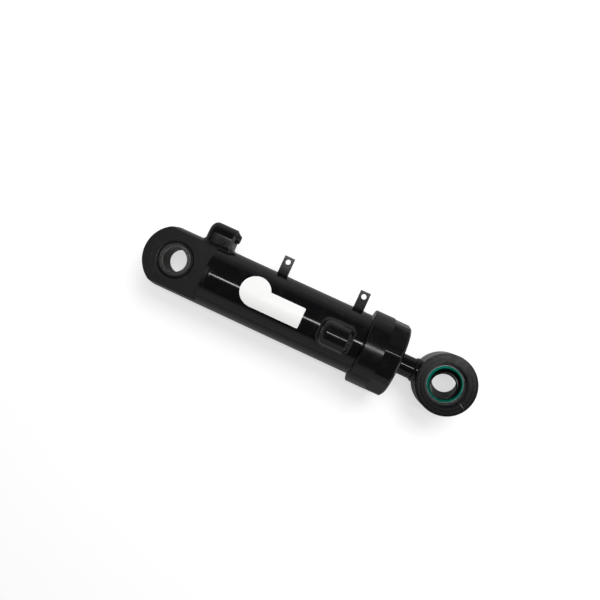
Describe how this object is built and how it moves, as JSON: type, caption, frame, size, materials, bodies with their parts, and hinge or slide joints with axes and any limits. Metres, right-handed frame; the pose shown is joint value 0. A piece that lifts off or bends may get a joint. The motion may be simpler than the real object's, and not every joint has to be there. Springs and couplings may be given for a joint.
{
  "type": "hydraulic cylinder",
  "caption": "Welded double-acting hydraulic cylinder with a base eye, octagonal screwed gland, side ports, pipe tabs and a spherical-bearing rod eye.",
  "frame": {"origin": "centre of the base pin bore", "axes": "+X along the rod towards the rod eye, +Z along the base pin, +Y towards the base port and the pipe tabs"},
  "size_m": [0.5962, 0.1525, 0.1525],
  "materials": {
    "black_paint": "gloss black enamel over steel",
    "plug_plastic": "moulded black polyethylene",
    "bush_steel": "hardened and blackened, ground bore",
    "bearing_steel": "phosphated, ground bore, lightly oiled",
    "plated_steel": "zinc plated",
    "phosphated_steel": "phosphated",
    "machined_steel": "turned",
    "chrome_rod": "ground hard chrome, its outer end painted over",
    "bush_bronze": "turned",
    "black_rubber": "moulded",
    "green_polyurethane": "moulded, slightly glossy",
    "amber_polyurethane": "moulded",
    "blue_polyurethane": "moulded",
    "white_ptfe": "turned",
    "wear_ring_fabric": "resin-bonded fabric",
    "label_vinyl": "blank self-adhesive vinyl"
  },
  "bodies": {
    "barrel": {"base_eye": "black_paint", "barrel_tube": "black_paint", "base_weld": "black_paint", "base_bush": "bush_steel", "base_dust_seal_front": "black_rubber", "base_dust_seal_rear": "black_rubber", "base_grease_nipple": "plated_steel", "base_port_boss": "black_paint", "base_port_weld": "black_paint", "base_port_plug": "plug_plastic", "rod_port_boss": "black_paint", "rod_port_weld": "black_paint", "rod_port_plug": "plug_plastic", "pipe_tab_base": "black_paint", "pipe_tab_rod": "black_paint", "pipe_tab_weld_base": "black_paint", "pipe_tab_weld_rod": "black_paint", "gland": "black_paint", "gland_o_ring": "black_rubber", "gland_backup_ring": "white_ptfe", "rod_bush": "bush_bronze", "buffer_seal": "amber_polyurethane", "rod_seal": "blue_polyurethane", "wiper_seal": "black_rubber", "data_label": "label_vinyl"},
    "rod": {"piston_rod": "chrome_rod", "rod_eye": "black_paint", "rod_eye_weld": "black_paint", "piston": "machined_steel", "piston_seal": "white_ptfe", "piston_seal_energizer": "black_rubber", "piston_wear_ring_rear": "wear_ring_fabric", "piston_wear_ring_front": "wear_ring_fabric", "piston_o_ring": "black_rubber", "piston_nut": "phosphated_steel", "bearing_outer_ring": "bearing_steel", "bearing_seal_front": "green_polyurethane", "bearing_seal_rear": "green_polyurethane", "snap_ring_front": "phosphated_steel", "snap_ring_rear": "phosphated_steel", "rod_grease_nipple": "plated_steel"},
    "bearing_ring": {"bearing_inner_ring": "bearing_steel"}
  },
  "joints": [
    {"name": "rod_slide", "type": "slide", "parent": "barrel", "child": "rod", "axis": [1, 0, 0], "range_m": [0, 0.16]},
    {"name": "ball_tilt", "type": "hinge", "parent": "rod", "child": "bearing_ring", "pos_m": [0.4895, 0, 0], "axis": [0.809, -0.5878, 0], "range_deg": [-31, 3]}
  ]
}
